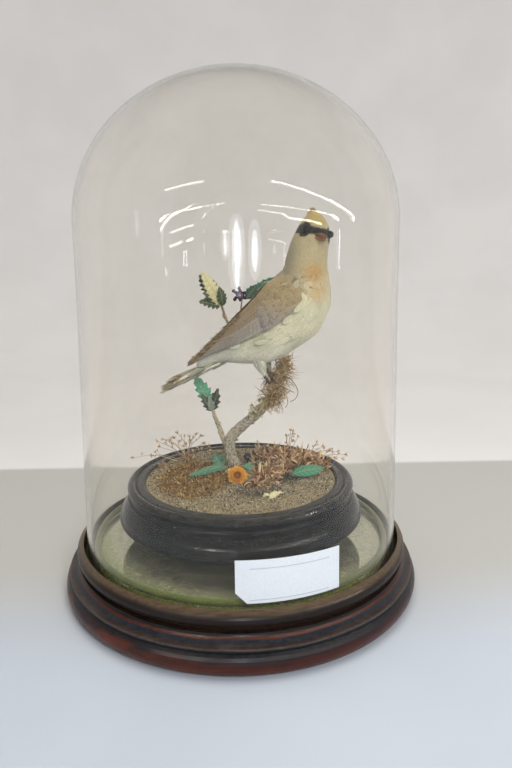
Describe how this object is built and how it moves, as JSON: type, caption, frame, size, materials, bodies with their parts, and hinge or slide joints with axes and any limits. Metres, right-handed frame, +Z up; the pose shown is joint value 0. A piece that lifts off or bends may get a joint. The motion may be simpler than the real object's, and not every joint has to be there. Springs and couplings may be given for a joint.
{
  "type": "bell jar dome",
  "caption": "Glass bell jar dome on a turned base with a mirror floor, over a small plinth with a mounted bird.",
  "frame": {"origin": "middle of the underside of the turned base, on the surface it stands on", "axes": "+Z up along the dome's axis, -Y towards the front, where the label is, +X to the viewer's right"},
  "size_m": [0.24, 0.24, 0.3305],
  "materials": {
    "mahogany": "old dark polish, worn and dusty",
    "baize": "green baize",
    "felt": "green wool felt",
    "backing_board": "brown strawboard",
    "mirror": "old silvering, dusty and foxed at the edge",
    "plush": "moss green plush",
    "ebonised_wood": "black polish",
    "sand": "sand glued on a board",
    "brown_moss": "dried fibrous moss",
    "bark": "rough grey bark",
    "steel_wire": "annealed wire",
    "tow": "dry golden tow",
    "lichen": "dry crusty lichen",
    "leaf_pale": "faded waxed cotton",
    "leaf_green": "teal green waxed cotton",
    "berry": "dark wax",
    "strawflower": "dry papery petals",
    "dry_grass": "dried plant stems",
    "wood_wool": "bound wood wool",
    "feather_cream": "soft faded feathers",
    "feather_olive": "soft olive feathers",
    "feather_grey": "smooth grey-brown flight feathers",
    "horn": "dark horn",
    "black_glass": "black glass bead",
    "clear_glass": "clear blown glass",
    "label_paper": "smooth white sticker, blank"
  },
  "bodies": {
    "base": {"turned_base": "mahogany", "underside_baize": "baize", "groove_felt": "felt", "mirror_backing": "backing_board", "mirror_plate": "mirror", "plush_ring": "plush", "plinth_feet": "ebonised_wood", "inner_plinth": "ebonised_wood", "groundwork": "sand", "moss_patch": "brown_moss", "branch": "bark", "branch_nail": "steel_wire", "side_twig": "bark", "upper_twig": "bark", "perch_moss": "tow", "lichen_patches": "lichen", "upper_leaf_pale": "leaf_pale", "upper_leaf_toothed": "leaf_green", "upper_leaf_small": "leaf_green", "back_leaves": "leaf_green", "berry_spray": "berry", "twig_leaves": "leaf_green", "ground_leaf_left": "leaf_green", "ground_leaf_right": "leaf_green", "ground_leaflets": "leaf_green", "ground_berry": "berry", "strawflower": "strawflower", "lichen_chip": "lichen", "seed_grass_left": "dry_grass", "seed_grass_right": "dry_grass", "dried_moss_right": "dry_grass", "wood_wool_body": "wood_wool", "bird_skin": "feather_cream", "crest": "feather_olive", "wing_near": "feather_grey", "wing_far": "feather_grey", "tail_feathers": "feather_grey", "bill_upper": "horn", "bill_lower": "horn", "glass_eyes": "black_glass", "leg_near": "horn", "leg_far": "horn", "leg_wires": "steel_wire", "neck_wire": "steel_wire"},
    "dome": {"glass_dome": "clear_glass", "paper_label": "label_paper"}
  },
  "joints": [
    {"name": "dome_lift", "type": "slide", "parent": "base", "child": "dome", "axis": [0, 0, 1], "range_m": [0, 0.34]}
  ]
}
